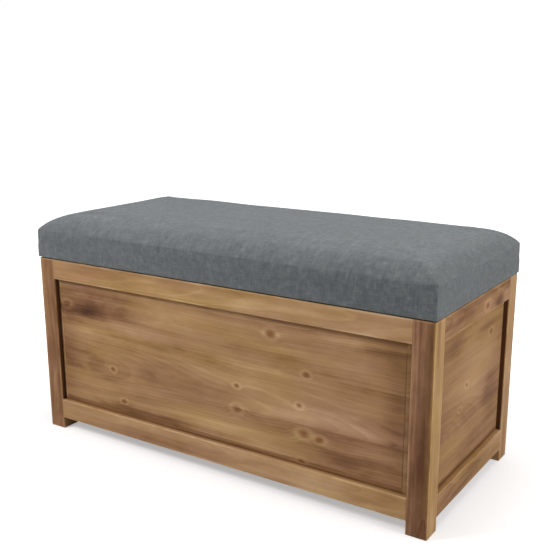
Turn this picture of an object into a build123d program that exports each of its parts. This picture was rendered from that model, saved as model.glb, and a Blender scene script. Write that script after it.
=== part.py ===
from build123d import *

import os
from math import asin, cos, degrees, radians, sin, sqrt

# Storage bench: a frame-and-panel box on four short feet, with a hinged, upholstered lid
# that two slotted stays hold open. Millimetres, +Z up, +X to the right, +Y to the back.
# The origin is on the floor, under the middle of the box.

# ---- driving dimensions: the wooden box ----
LENGTH = 950.0
DEPTH = 422.0
BOX_HEIGHT = 403.0
POST = 42.0
FOOT_HEIGHT = 27.0
RAIL_HEIGHT = 44.5
RAIL_THICKNESS = 24.0
GROOVE_START = 12.0  # from the frame's outer face to the groove
GROOVE_WIDTH = 6.0
GROOVE_DEPTH = 8.0
TENON_LENGTH = 20.0
TENON_SHOULDER = 8.0
PANEL_TONGUE = 7.0
FIELD_RECESS = 7.5  # from the frame's outer face to the raised field of a panel
BEVEL_WIDTH = 12.0
BOARD_SHARES = (0.38, 0.33, 0.29)  # heights of the boards glued into a panel, top first
EDGE_ROUND = 1.2
POST_CORNER_ROUND = 2.5
FOOT_CHAMFER = 0.8

FLOOR_THICKNESS = 9.0
FLOOR_CLEARANCE = 0.5
CLEAT = 18.0
CLEAT_BOTTOM = 34.0

# ---- driving dimensions: the lid ----
LID_OVERHANG = 1.8  # linen beyond the box, each side
LEAF_THICKNESS = 1.2
LEAF_GAP = 0.2
LINEN = 1.2
LID_BOARD = 15.0
BAND_HEIGHT = 61.0
CROWN = 35.0
CROWN_RUN_X = 68.0  # run over which the crown rises from each short side
CROWN_RUN_Y = 55.0  # the same from the front and the back
FOAM_CLEARANCE = 0.3
WRAP_MARGIN = 35.0  # linen turned under the lid board
DUST_COVER = 0.5
DUST_INSET = 27.0
STAPLE_INSET = 30.0
STAPLE_PITCH = 42.0

# ---- driving dimensions: hinges and stays ----
HINGE_X = 300.0
HINGE_LENGTH = 63.0
LEAF_REACH = 27.0  # from the pin's axis to the leaf's free edge
KNUCKLES = 5
KNUCKLE_RADIUS = 3.0
KNUCKLE_GAP = 0.3
PIN_RADIUS = 1.5
RUNNING_CLEARANCE = 0.05
PIN_BEHIND_LINEN = 4.0

STAY_RADIUS = 150.0  # pin axis to the stay's pivot, and pin axis to the stay's stud
STAY_PIVOT_DROP = 14.3
STAY_STUD_DROP = 30.3
STAY_OPEN_ANGLE = 90.0
STAY_THICKNESS = 2.0
STAY_HALF_WIDTH = 7.0
STUD_RADIUS = 2.5
SLOT_HALF_WIDTH = 2.8
RIVET_RADIUS = 2.2

HALF_LENGTH = LENGTH / 2
HALF_DEPTH = DEPTH / 2
OPENING_BOTTOM = FOOT_HEIGHT + RAIL_HEIGHT
OPENING_TOP = BOX_HEIGHT - RAIL_HEIGHT
SPAN_X = LENGTH - 2 * POST
SPAN_Y = DEPTH - 2 * POST
INNER_X = HALF_LENGTH - RAIL_THICKNESS
INNER_Y = HALF_DEPTH - RAIL_THICKNESS

PIN_Y = HALF_DEPTH + LID_OVERHANG + PIN_BEHIND_LINEN
PIN_Z = BOX_HEIGHT + LEAF_THICKNESS + LEAF_GAP / 2
LID_BOTTOM = BOX_HEIGHT + 2 * LEAF_THICKNESS + LEAF_GAP
BOARD_BOTTOM = LID_BOTTOM + LINEN
BAND_TOP = LID_BOTTOM + BAND_HEIGHT
COVER_LENGTH = LENGTH + 2 * LID_OVERHANG
COVER_DEPTH = DEPTH + 2 * LID_OVERHANG

# Each face of the box is built facing -Y, with its outer face on y = 0 and +Y inwards,
# and then turned to its side of the box.
FACES = {
    "front": (Pos(0, -HALF_DEPTH, 0), SPAN_X),
    "right": (Pos(HALF_LENGTH, 0, 0) * Rot(0, 0, 90), SPAN_Y),
    "rear": (Pos(0, HALF_DEPTH, 0) * Rot(0, 0, 180), SPAN_X),
    "left": (Pos(-HALF_LENGTH, 0, 0) * Rot(0, 0, -90), SPAN_Y),
}


def block(low, high):
    """A box between two corners."""
    size = [h - l for l, h in zip(low, high)]
    middle = [(h + l) / 2 for l, h in zip(low, high)]
    return Pos(*middle) * Box(*size)


def rod(radius, start, end, axis):
    """A cylinder along one axis, from start to end, centred on the other two."""
    turn = {"x": Rot(0, 90, 0), "y": Rot(-90, 0, 0), "z": Rot(0, 0, 0)}[axis]
    middle = (start + end) / 2
    place = {"x": Pos(middle, 0, 0), "y": Pos(0, middle, 0), "z": Pos(0, 0, middle)}[axis]
    return place * turn * Cylinder(radius, end - start)


def group(solids):
    """Separate solids kept together in one node."""
    return Compound(children=[s for part in solids for s in part.solids()])


# ---------------------------------------------------------------- the wooden box


def post():
    """The right rear post, with a mortise or groove for each rail and panel that meets it."""
    body = block((HALF_LENGTH - POST, HALF_DEPTH - POST, 0), (HALF_LENGTH, HALF_DEPTH, BOX_HEIGHT))
    upright = body.edges().filter_by(Axis.Z)
    outer = upright.sort_by(lambda e: e.center().X + e.center().Y)[-1]
    body = fillet(outer, POST_CORNER_ROUND)
    body = fillet(body.edges().filter_by(Axis.Z).sort_by(lambda e: e.center().X + e.center().Y)[0:3], EDGE_ROUND)
    body = chamfer(body.faces().sort_by(Axis.Z)[0].edges(), FOOT_CHAMFER)
    groove = (GROOVE_START, GROOVE_START + GROOVE_WIDTH)
    cuts = [
        (OPENING_BOTTOM - GROOVE_DEPTH, OPENING_TOP + GROOVE_DEPTH, GROOVE_DEPTH),
        (FOOT_HEIGHT + TENON_SHOULDER, OPENING_BOTTOM - GROOVE_DEPTH, TENON_LENGTH + 0.5),
        (OPENING_TOP + GROOVE_DEPTH, BOX_HEIGHT - TENON_SHOULDER, TENON_LENGTH + 0.5),
    ]
    for bottom, top, reach in cuts:
        into_x = HALF_LENGTH - POST
        into_y = HALF_DEPTH - POST
        body -= block(
            (into_x, HALF_DEPTH - groove[1], bottom), (into_x + reach, HALF_DEPTH - groove[0], top)
        )
        body -= block(
            (HALF_LENGTH - groove[1], into_y, bottom), (HALF_LENGTH - groove[0], into_y + reach, top)
        )
    return body


def rail(span, bottom, top, groove_edge, tenon):
    """A rail with a stub tenon at each end and a groove for the panel along one edge."""
    body = block((-span / 2, 0, bottom), (span / 2, RAIL_THICKNESS, top))
    body = fillet(body.edges().filter_by(Axis.X), EDGE_ROUND)
    near, far = GROOVE_START, GROOVE_START + GROOVE_WIDTH
    for side in (-1, 1):
        start, end = sorted((side * span / 2, side * (span / 2 + TENON_LENGTH)))
        body += block((start, near, tenon[0]), (end, far, tenon[1]))
    inside = -1 if groove_edge > (bottom + top) / 2 else 1
    low, high = sorted((groove_edge, groove_edge + inside * GROOVE_DEPTH))
    return body - block((-span / 2, near, low), (span / 2, far, high))


def bottom_rail(span):
    tenon = (FOOT_HEIGHT + TENON_SHOULDER, OPENING_BOTTOM - GROOVE_DEPTH)
    return rail(span, FOOT_HEIGHT, OPENING_BOTTOM, OPENING_BOTTOM, tenon)


def top_rail(span):
    tenon = (OPENING_TOP + GROOVE_DEPTH, BOX_HEIGHT - TENON_SHOULDER)
    return rail(span, OPENING_TOP, BOX_HEIGHT, OPENING_TOP, tenon)


def panel(span):
    """A raised panel of three boards glued edge to edge, its tongue held in the frame's groove."""
    tongue_front, back = GROOVE_START, GROOVE_START + GROOVE_WIDTH
    reach = span / 2 + PANEL_TONGUE
    tongue = block(
        (-reach, tongue_front, OPENING_BOTTOM - PANEL_TONGUE), (reach, back, OPENING_TOP + PANEL_TONGUE)
    )
    height = OPENING_TOP - OPENING_BOTTOM
    middle = (OPENING_TOP + OPENING_BOTTOM) / 2
    root = Plane((0, tongue_front, middle), x_dir=(1, 0, 0), z_dir=(0, -1, 0))
    crest = Plane((0, FIELD_RECESS, middle), x_dir=(1, 0, 0), z_dir=(0, -1, 0))
    field = loft(
        [
            root * Rectangle(span, height),
            crest * Rectangle(span - 2 * BEVEL_WIDTH, height - 2 * BEVEL_WIDTH),
        ],
        ruled=True,
    )
    whole = tongue + field
    total = height + 2 * PANEL_TONGUE
    top = OPENING_TOP + PANEL_TONGUE
    boards = []
    for share in BOARD_SHARES:
        bottom = top - share * total
        boards.append(whole & block((-reach, 0, bottom), (reach, RAIL_THICKNESS, top)))
        top = bottom
    return group(boards)


def cleat(span):
    """A strip along the foot of a face that carries the floor panel."""
    half = span / 2 - 1
    back, top = RAIL_THICKNESS + CLEAT, CLEAT_BOTTOM + CLEAT
    return block((-half, RAIL_THICKNESS, CLEAT_BOTTOM), (half, back, top))


def floor_panel():
    """Plywood floor, notched round the four posts."""
    x, y = INNER_X - FLOOR_CLEARANCE, INNER_Y - FLOOR_CLEARANCE
    bottom = CLEAT_BOTTOM + CLEAT
    body = block((-x, -y, bottom), (x, y, bottom + FLOOR_THICKNESS))
    notch = POST - RAIL_THICKNESS
    for sx in (-1, 1):
        for sy in (-1, 1):
            corner = Pos(sx * x, sy * y, bottom) * Box(2 * notch, 2 * notch, 3 * FLOOR_THICKNESS)
            body -= corner
    return body


def screw_blank(head_radius, shank_radius, length):
    """The outline of a countersunk wood screw: head flush with z = 0, point down."""
    head = head_radius - shank_radius
    profile = make_face(
        Polyline(
            (0, 0, 0),
            (head_radius, 0, 0),
            (shank_radius, 0, -head),
            (shank_radius, 0, -(length - 2 * shank_radius)),
            (0, 0, -length),
            (0, 0, 0),
        )
    )
    return revolve(profile, Axis.Z)


def screw(head_radius, shank_radius, length):
    """A countersunk wood screw with a cross recess in its head."""
    body = screw_blank(head_radius, shank_radius, length)
    arm, width, depth = head_radius * 0.55, head_radius * 0.24, (head_radius - shank_radius) * 0.8
    body -= block((-arm, -width / 2, -depth), (arm, width / 2, 1))
    body -= block((-width / 2, -arm, -depth), (width / 2, arm, 1))
    return body


def fastened(places, head_radius, shank_radius, length):
    """Screws at some places, and the same screws without their recesses, to cut their holes with."""
    screws = group([place * screw(head_radius, shank_radius, length) for place in places])
    holes = group([place * screw_blank(head_radius, shank_radius, length) for place in places])
    return screws, holes


def along(span, count):
    """Evenly spaced places along a span, with half a space at each end."""
    return [span * ((i + 0.5) / count - 0.5) for i in range(count)]


def cleat_screws():
    """Screws through each cleat into the bottom rail behind it."""
    made = []
    height = CLEAT_BOTTOM + CLEAT / 2
    for location, span in FACES.values():
        count = 5 if span == SPAN_X else 3
        for x in along(span, count):
            into = Pos(x, RAIL_THICKNESS + CLEAT, height) * Rot(-90, 0, 0)
            made.append(location * into * screw(3.6, 1.8, 32))
    return group(made)


def floor_nails():
    """Nails through the floor panel into the cleats."""
    made = []
    top = CLEAT_BOTTOM + CLEAT + FLOOR_THICKNESS
    for location, span in FACES.values():
        count = 6 if span == SPAN_X else 2
        for x in along(span, count):
            shank = rod(0.8, -22, -0.6, "z")
            head = rod(1.7, -0.6, 0, "z")
            made.append(location * Pos(x, RAIL_THICKNESS + CLEAT / 2, top) * (shank + head))
    return group(made)


def lid_bumpers():
    """Soft pads on the tops of the posts, which the lid closes on."""
    height = LID_BOTTOM - BOX_HEIGHT - LEAF_GAP
    pad = rod(5, 0, height, "z")
    pad = chamfer(pad.faces().sort_by(Axis.Z)[-1].edges(), 0.6)
    x, y = HALF_LENGTH - POST / 2, HALF_DEPTH - POST / 2
    return group([Pos(sx * x, sy * y, BOX_HEIGHT) * pad for sx in (-1, 1) for sy in (-1, 1)])


# ---------------------------------------------------------------- the hinges

LEAF_SCREW_X = (-22.0, 0.0, 22.0)
LEAF_SCREW_Y = (-19.0, -13.5, -19.0)


def knuckle_span(index):
    pitch = HINGE_LENGTH / KNUCKLES
    start = -HINGE_LENGTH / 2 + index * pitch
    return start + KNUCKLE_GAP / 2, start + pitch - KNUCKLE_GAP / 2


def leaf(low, high, knuckles, bore, holes):
    """A hinge leaf between two heights about the pin's axis, which is the X axis here."""
    half = HINGE_LENGTH / 2
    plate = block((-half, -LEAF_REACH, low), (half, 0, high))
    plate = fillet(plate.edges().filter_by(Axis.Z).sort_by(Axis.Y)[0:2], 3)
    room = KNUCKLE_RADIUS + 0.4
    for index in range(KNUCKLES):
        start, end = knuckle_span(index)
        if index in knuckles:
            plate += rod(KNUCKLE_RADIUS, start, end, "x")
        else:
            gap = KNUCKLE_GAP
            plate -= block((start - gap, -room, -room), (end + gap, room, room))
    plate -= rod(bore, -half, half, "x")
    for hole in holes.solids():
        plate -= hole
    return plate


def hinge_pin():
    half = HINGE_LENGTH / 2
    pin = rod(PIN_RADIUS, -half - 0.2, half + 0.2, "x")
    for side in (-1, 1):
        start, end = sorted((side * (half + 0.2), side * (half + 1.4)))
        pin += rod(PIN_RADIUS + 0.9, start, end, "x")
    return chamfer(pin.edges().filter_by(GeomType.CIRCLE).group_by(Axis.X)[0], 0.3)


def hinge_parts():
    """Leaves, pins and screws of both hinges, by node name."""
    low = -LEAF_GAP / 2 - LEAF_THICKNESS
    high = LEAF_GAP / 2 + LEAF_THICKNESS
    spots = list(zip(LEAF_SCREW_X, LEAF_SCREW_Y))
    down = [Pos(x, y, -LEAF_GAP / 2) for x, y in spots]
    up = [Pos(x, y, LEAF_GAP / 2) * Rot(180, 0, 0) for x, y in spots]
    rail_screws, rail_holes = fastened(down, 3.2, 1.7, 18)
    lid_screws, lid_holes = fastened(up, 3.2, 1.7, 13)
    rail_leaf = leaf(low, -LEAF_GAP / 2, (0, 2, 4), PIN_RADIUS, rail_holes)
    lid_leaf = leaf(LEAF_GAP / 2, high, (1, 3), PIN_RADIUS + RUNNING_CLEARANCE, lid_holes)
    parts = {}
    places = {"left": Pos(-HINGE_X, PIN_Y, PIN_Z), "right": Pos(HINGE_X, PIN_Y, PIN_Z)}
    for side, place in places.items():
        parts[f"{side}_hinge_rail_leaf"] = place * rail_leaf
        parts[f"{side}_hinge_lid_leaf"] = place * lid_leaf
        parts[f"{side}_hinge_pin"] = place * hinge_pin()
    parts["hinge_rail_screws"] = group([place * rail_screws for place in places.values()])
    parts["hinge_lid_screws"] = group([place * lid_screws for place in places.values()])
    return parts


# ---------------------------------------------------------------- the stays

# The pivot on the lid and the stud on the side rail are equally far from the hinge pin, so a
# straight slot through the pivot always passes over the stud while the stay turns half as far
# as the lid.
PIVOT_ANGLE = asin(STAY_PIVOT_DROP / STAY_RADIUS)
STUD_ANGLE = asin(STAY_STUD_DROP / STAY_RADIUS)
PIVOT_Y, PIVOT_Z = PIN_Y - STAY_RADIUS * cos(PIVOT_ANGLE), PIN_Z - STAY_PIVOT_DROP
STUD_Y, STUD_Z = PIN_Y - STAY_RADIUS * cos(STUD_ANGLE), PIN_Z - STAY_STUD_DROP
REACH_CLOSED = 2 * STAY_RADIUS * sin((STUD_ANGLE - PIVOT_ANGLE) / 2)
REACH_OPEN = 2 * STAY_RADIUS * sin((STUD_ANGLE - PIVOT_ANGLE + radians(STAY_OPEN_ANGLE)) / 2)
STAY_TILT = degrees((STUD_ANGLE + PIVOT_ANGLE) / 2)

COLLAR_END = INNER_X - 3.0
STAY_OUTER = COLLAR_END - 0.3
STAY_INNER = STAY_OUTER - STAY_THICKNESS
STUD_HEAD = STAY_INNER - 0.3
BRACKET_OUTER = STAY_INNER - 0.3
BRACKET_THICKNESS = 2.0
BRACKET_FLANGE = 26.0
BRACKET_HALF_WIDTH = 17.0
BRACKET_TOP = LID_BOTTOM - DUST_COVER


def rounded_bar(start, end, half_width):
    """A flat face in the YZ plane: a bar hanging down from start to end, with round ends."""
    bar = Pos(0, -(start + end) / 2) * Rectangle(2 * half_width, end - start)
    ends = Pos(0, -start) * Circle(half_width) + Pos(0, -end) * Circle(half_width)
    return bar + ends


def stay_arm():
    """The slotted arm of the right-hand stay, at rest with the lid closed."""
    outline = rounded_bar(0, REACH_OPEN + 3, STAY_HALF_WIDTH)
    slot = rounded_bar(REACH_CLOSED - 0.1, REACH_OPEN + 0.1, SLOT_HALF_WIDTH)
    flat = outline - slot - Circle(RIVET_RADIUS + RUNNING_CLEARANCE)
    plane = Plane((STAY_INNER, PIVOT_Y, PIVOT_Z), x_dir=(0, 1, 0), z_dir=(1, 0, 0))
    arm = extrude(plane * Rot(0, 0, STAY_TILT) * flat, STAY_THICKNESS)
    return arm


def bracket_screw_places():
    x = BRACKET_OUTER - BRACKET_THICKNESS - BRACKET_FLANGE / 2
    upwards = Pos(x, 0, BRACKET_TOP - BRACKET_THICKNESS) * Rot(180, 0, 0)
    return [Pos(0, y, 0) * upwards for y in (PIVOT_Y - 9, PIVOT_Y + 9)]


def stay_bracket():
    """The right-hand angle bracket under the lid, which carries the stay's pivot, and its screws."""
    inner = BRACKET_OUTER - BRACKET_THICKNESS
    flange = block(
        (inner - BRACKET_FLANGE, PIVOT_Y - BRACKET_HALF_WIDTH, BRACKET_TOP - BRACKET_THICKNESS),
        (BRACKET_OUTER, PIVOT_Y + BRACKET_HALF_WIDTH, BRACKET_TOP),
    )
    flange = fillet(flange.edges().filter_by(Axis.Z).sort_by(Axis.X)[0:2], 4)
    round_end, wide = 6.5, BRACKET_HALF_WIDTH
    drop = BRACKET_TOP - PIVOT_Z
    sides = Polyline((-round_end, 0), (-wide, drop), (wide, drop), (round_end, 0), (-round_end, 0))
    ear = Circle(round_end) + make_face(sides)
    plane = Plane((inner, PIVOT_Y, PIVOT_Z), x_dir=(0, 1, 0), z_dir=(1, 0, 0))
    body = flange + extrude(plane * (ear - Circle(RIVET_RADIUS)), BRACKET_THICKNESS)
    screws, holes = fastened(bracket_screw_places(), 3.2, 1.7, 14)
    for hole in holes.solids():
        body -= hole
    return body, screws


def stay_rivet():
    inner = BRACKET_OUTER - BRACKET_THICKNESS
    outer_head = STAY_OUTER + 0.15
    shank = rod(RIVET_RADIUS, inner, outer_head, "x")
    heads = rod(4, inner - 1.2, inner, "x") + rod(4, outer_head, outer_head + 1.2, "x")
    return Pos(0, PIVOT_Y, PIVOT_Z) * (shank + heads)


def stay_stud():
    """A shoulder screw in the side rail: thread, collar, shoulder in the slot, and head."""
    thread = rod(1.8, INNER_X, INNER_X + 14, "x")
    collar = rod(4.5, COLLAR_END, INNER_X, "x")
    shoulder = rod(STUD_RADIUS, STUD_HEAD, COLLAR_END, "x")
    head = rod(4.4, STUD_HEAD - 1.8, STUD_HEAD, "x")
    head = chamfer(head.faces().sort_by(Axis.X)[0].edges(), 0.6)
    return Pos(0, STUD_Y, STUD_Z) * (thread + collar + shoulder + head)


def stay_parts():
    """Both stays: the left-hand one mirrors the right-hand one."""
    bracket, bracket_screws = stay_bracket()
    own_nodes = {
        "stay_arm": stay_arm(),
        "stay_bracket": bracket,
        "stay_rivet": stay_rivet(),
        "stay_stud": stay_stud(),
    }
    parts = {}
    for name, shape in own_nodes.items():
        parts[f"right_{name}"] = shape
        parts[f"left_{name}"] = mirror(shape, about=Plane.YZ)
    both_sides = [bracket_screws, mirror(bracket_screws, about=Plane.YZ)]
    parts["stay_bracket_screws"] = group(both_sides)
    return parts


# ---------------------------------------------------------------- the lid


def crowned_profile(half, bottom, band_top, crown, run):
    """An upright face with straight sides and a flat top, joined by an arc at each side."""
    radius = (run**2 + crown**2) / (2 * crown)
    turn = asin(run / radius) / 2
    flat, top = half - run, band_top + crown
    middle = (flat + radius * sin(turn), top - radius * (1 - cos(turn)))
    outline = Polyline((-half, band_top), (-half, bottom), (half, bottom), (half, band_top))
    outline += ThreePointArc((half, band_top), middle, (flat, top))
    outline += Line((flat, top), (-flat, top))
    outline += ThreePointArc((-flat, top), (-middle[0], middle[1]), (-half, band_top))
    return make_face(outline)


def pillow(length, depth, bottom, band_top, crown):
    """A block whose top rises in an arc from all four edges to a flat middle."""
    across = crowned_profile(depth / 2, bottom, band_top, crown, CROWN_RUN_Y)
    lengthways = crowned_profile(length / 2, bottom, band_top, crown, CROWN_RUN_X)
    along_x = extrude(Plane.YZ * across, length / 2 + 1, both=True)
    along_y = extrude(Plane.XZ * lengthways, depth / 2 + 1, both=True)
    return along_x & along_y


def lid_board():
    x, y = COVER_LENGTH / 2 - LINEN, COVER_DEPTH / 2 - LINEN
    return block((-x, -y, BOARD_BOTTOM), (x, y, BOARD_BOTTOM + LID_BOARD))


def foam_pad():
    thin = LINEN + FOAM_CLEARANCE
    return pillow(
        COVER_LENGTH - 2 * thin, COVER_DEPTH - 2 * thin, BOARD_BOTTOM + LID_BOARD, BAND_TOP - thin, CROWN
    )


def linen_cover():
    """The linen over the foam and round the board, turned under it along all four edges."""
    outer = pillow(COVER_LENGTH, COVER_DEPTH, LID_BOTTOM, BAND_TOP, CROWN)
    inner = pillow(COVER_LENGTH - 2 * LINEN, COVER_DEPTH - 2 * LINEN, BOARD_BOTTOM, BAND_TOP - LINEN, CROWN)
    x, y = COVER_LENGTH / 2 - WRAP_MARGIN, COVER_DEPTH / 2 - WRAP_MARGIN
    return outer - inner - block((-x, -y, LID_BOTTOM - 1), (x, y, BOARD_BOTTOM + 1))


def dust_cover():
    x, y = COVER_LENGTH / 2 - DUST_INSET, COVER_DEPTH / 2 - DUST_INSET
    return block((-x, -y, LID_BOTTOM - DUST_COVER), (x, y, LID_BOTTOM))


def staple():
    """A staple with its crown along X, just under z = 0, and its legs up."""
    half, wire, leg = 5.0, 0.9, 7.0
    body = block((-half, -wire / 2, -0.5), (half, wire / 2, 0))
    for start in (-half, half - wire):
        body += block((start, -wire / 2, -0.25), (start + wire, wire / 2, leg))
    return body


def cover_staples():
    """Staples round the dust cover, which hold it and the turned-under linen to the board."""
    made = []
    x, y = COVER_LENGTH / 2 - STAPLE_INSET, COVER_DEPTH / 2 - STAPLE_INSET
    z = LID_BOTTOM - DUST_COVER
    one = staple()
    for side in (-1, 1):
        for place in along(2 * x, round(2 * x / STAPLE_PITCH)):
            made.append(Pos(place, side * y, z) * one)
        for place in along(2 * y, round(2 * y / STAPLE_PITCH)):
            made.append(Pos(side * x, place, z) * Rot(0, 0, 90) * one)
    return group(made)


# ---------------------------------------------------------------- the whole bench


def bench():
    parts = {}
    corner = post()
    parts["right_rear_post"] = corner
    parts["left_rear_post"] = mirror(corner, about=Plane.YZ)
    parts["right_front_post"] = mirror(corner, about=Plane.XZ)
    parts["left_front_post"] = mirror(parts["left_rear_post"], about=Plane.XZ)
    for face, (location, span) in FACES.items():
        parts[f"{face}_top_rail"] = location * top_rail(span)
        parts[f"{face}_bottom_rail"] = location * bottom_rail(span)
        parts[f"{face}_panel"] = location * panel(span)
        parts[f"{face}_cleat"] = location * cleat(span)
    parts["floor_panel"] = floor_panel()
    parts["cleat_screws"] = cleat_screws()
    parts["floor_nails"] = floor_nails()
    parts["lid_bumpers"] = lid_bumpers()
    parts.update(hinge_parts())
    parts.update(stay_parts())
    parts["lid_board"] = lid_board()
    parts["foam_pad"] = foam_pad()
    parts["linen_cover"] = linen_cover()
    parts["dust_cover"] = dust_cover()
    parts["cover_staples"] = cover_staples()
    return parts


os.makedirs("parts", exist_ok=True)
for node, shape in bench().items():
    export_step(shape, f"parts/{node}.step")
print("hinge pin", PIN_Y, PIN_Z, "stay pivot", PIVOT_Y, PIVOT_Z, "stay stud", STUD_Y, STUD_Z)
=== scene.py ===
"""Storage bench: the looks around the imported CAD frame."""

import math
import random

import bmesh
import bpy
from mathutils import Matrix, Vector


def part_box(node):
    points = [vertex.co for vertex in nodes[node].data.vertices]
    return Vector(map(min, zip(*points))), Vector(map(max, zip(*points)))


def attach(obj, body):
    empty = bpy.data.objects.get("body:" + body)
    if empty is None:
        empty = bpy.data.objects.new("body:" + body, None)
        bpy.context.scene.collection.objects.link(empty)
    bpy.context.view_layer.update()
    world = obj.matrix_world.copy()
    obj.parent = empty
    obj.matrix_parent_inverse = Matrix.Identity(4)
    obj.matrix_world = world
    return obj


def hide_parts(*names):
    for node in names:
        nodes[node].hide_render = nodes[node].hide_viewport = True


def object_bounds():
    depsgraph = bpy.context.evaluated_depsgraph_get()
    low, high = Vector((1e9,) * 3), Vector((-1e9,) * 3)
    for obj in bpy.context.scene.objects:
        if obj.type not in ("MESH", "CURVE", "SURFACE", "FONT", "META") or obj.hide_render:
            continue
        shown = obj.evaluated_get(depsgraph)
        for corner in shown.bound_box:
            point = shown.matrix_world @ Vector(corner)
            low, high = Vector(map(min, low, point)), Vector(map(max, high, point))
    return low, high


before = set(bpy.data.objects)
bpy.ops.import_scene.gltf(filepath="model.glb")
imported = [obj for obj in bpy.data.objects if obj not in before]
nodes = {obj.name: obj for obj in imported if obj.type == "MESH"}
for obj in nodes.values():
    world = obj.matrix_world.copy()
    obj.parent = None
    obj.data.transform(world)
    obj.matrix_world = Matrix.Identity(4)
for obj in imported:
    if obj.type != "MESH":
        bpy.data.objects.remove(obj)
cad_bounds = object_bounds()

AXES = "xyz"
SIDES = ("front", "right", "rear", "left")

# ---------------------------------------------------------------- camera, light and floor

CAMERA_POSITION = (0.9943, -1.4864, 0.8107)
CAMERA_YAW = 33.35
CAMERA_PITCH = -14.4
CAMERA_ROLL = -0.2
CAMERA_LENS = 54.86
CAMERA_SHIFT = (0.0099, 0.0144)
BACKGROUND_SEEN = 1.02  # how bright the world is to the camera
BACKGROUND_LIGHT = 0.19  # and how brightly it lights the bench
FLOOR_HALF = 40.0
FLOOR_GLOW_NEAR, FLOOR_GLOW_MORE = 0.40, 0.6  # beside the bench, and what is added far from it
FLOOR_FADE = 0.7  # over this distance


def add_camera():
    camera = bpy.data.objects.new("camera", bpy.data.cameras.new("camera"))
    camera.data.lens = CAMERA_LENS
    camera.data.sensor_width = 36.0
    camera.data.shift_x, camera.data.shift_y = CAMERA_SHIFT
    camera.data.clip_start = 0.01
    turn = Matrix.Rotation(math.radians(CAMERA_YAW), 4, "Z")
    tilt = Matrix.Rotation(math.radians(90 + CAMERA_PITCH), 4, "X")
    roll = Matrix.Rotation(math.radians(CAMERA_ROLL), 4, "Z")
    camera.matrix_world = Matrix.Translation(CAMERA_POSITION) @ turn @ tilt @ roll
    bpy.context.scene.collection.objects.link(camera)
    bpy.context.scene.camera = camera


def add_area_light(name, position, target, size, power, colour):
    light = bpy.data.lights.new(name, "AREA")
    light.shape = "DISK"
    light.size = size
    light.energy = power
    light.color = colour
    lamp = bpy.data.objects.new(name, light)
    lamp.location = position
    lamp.rotation_euler = (Vector(target) - Vector(position)).to_track_quat("-Z", "Y").to_euler()
    bpy.context.scene.collection.objects.link(lamp)


def add_world():
    """Pure white to the camera, and a dimmer soft white as a light."""
    world = bpy.data.worlds.new("studio")
    bpy.context.scene.world = world
    world.use_nodes = True
    tree = world.node_tree
    tree.nodes.clear()
    seen = tree.nodes.new("ShaderNodeBackground")
    light = tree.nodes.new("ShaderNodeBackground")
    seen.inputs["Color"].default_value = (1, 1, 1, 1)
    seen.inputs["Strength"].default_value = BACKGROUND_SEEN
    light.inputs["Color"].default_value = (0.96, 0.98, 1.0, 1)
    light.inputs["Strength"].default_value = BACKGROUND_LIGHT
    path = tree.nodes.new("ShaderNodeLightPath")
    mix = tree.nodes.new("ShaderNodeMixShader")
    out = tree.nodes.new("ShaderNodeOutputWorld")
    tree.links.new(path.outputs["Is Camera Ray"], mix.inputs[0])
    tree.links.new(light.outputs[0], mix.inputs[1])
    tree.links.new(seen.outputs[0], mix.inputs[2])
    tree.links.new(mix.outputs[0], out.inputs["Surface"])


# ---------------------------------------------------------------- a short way to write materials


class Signal:
    """One number in a node tree. Arithmetic on it adds maths nodes."""

    def __init__(self, shader, socket):
        self.shader, self.socket = shader, socket

    def __add__(self, other):
        return self.shader.maths("ADD", self, other)

    __radd__ = __add__

    def __sub__(self, other):
        return self.shader.maths("SUBTRACT", self, other)

    def __rsub__(self, other):
        return self.shader.maths("SUBTRACT", other, self)

    def __mul__(self, other):
        return self.shader.maths("MULTIPLY", self, other)

    __rmul__ = __mul__

    def __truediv__(self, other):
        return self.shader.maths("DIVIDE", self, other)

    def __pow__(self, other):
        return self.shader.maths("POWER", self, other)

    def size(self):
        return self.shader.maths("ABSOLUTE", self)

    def root(self):
        return self.shader.maths("SQRT", self)

    def sine(self):
        return self.shader.maths("SINE", self)

    def part(self):
        """What is left after the whole number is taken away."""
        return self.shader.maths("FRACT", self)

    def least(self, other):
        return self.shader.maths("MINIMUM", self, other)

    def most(self, other):
        return self.shader.maths("MAXIMUM", self, other)

    def above(self, other):
        return self.shader.maths("GREATER_THAN", self, other)

    def rise(self, start, end):
        """0 up to start, 1 from end, and smooth between. Falls where start is past end."""
        low, high, swap = (start, end, False) if start < end else (end, start, True)
        node = self.shader.add("ShaderNodeMapRange", interpolation_type="SMOOTHSTEP")
        self.shader.feed(node.inputs["Value"], self)
        node.inputs["From Min"].default_value = low
        node.inputs["From Max"].default_value = high
        node.inputs["To Min"].default_value = 1.0 if swap else 0.0
        node.inputs["To Max"].default_value = 0.0 if swap else 1.0
        return Signal(self.shader, node.outputs["Result"])


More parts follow.
